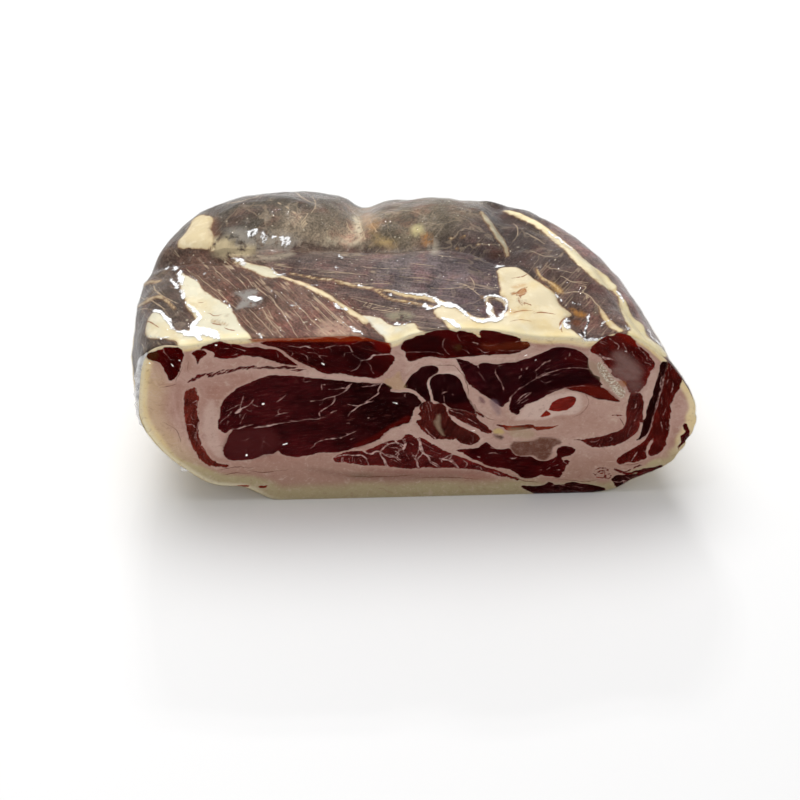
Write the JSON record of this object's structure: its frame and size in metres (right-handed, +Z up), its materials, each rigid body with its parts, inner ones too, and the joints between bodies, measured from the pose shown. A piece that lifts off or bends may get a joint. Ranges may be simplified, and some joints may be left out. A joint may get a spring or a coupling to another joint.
{
  "type": "cured iberian pork shoulder",
  "caption": "Boned, cured and pressed pork shoulder block with one straight cut face, fat underneath, in a tight clear vacuum film.",
  "frame": {"origin": "middle of the bounding box at the plane that the block rests on", "axes": "+X to the right along the cut face, +Y from the cut face to the rounded back, +Z up"},
  "size_m": [0.1998, 0.1122, 0.0877],
  "materials": {
    "cured_meat": "dark red marbled lean and cream fat, waxy to glossy under a tight clear film"
  },
  "bodies": {
    "root": {"cured_shoulder": "cured_meat"}
  },
  "joints": []
}
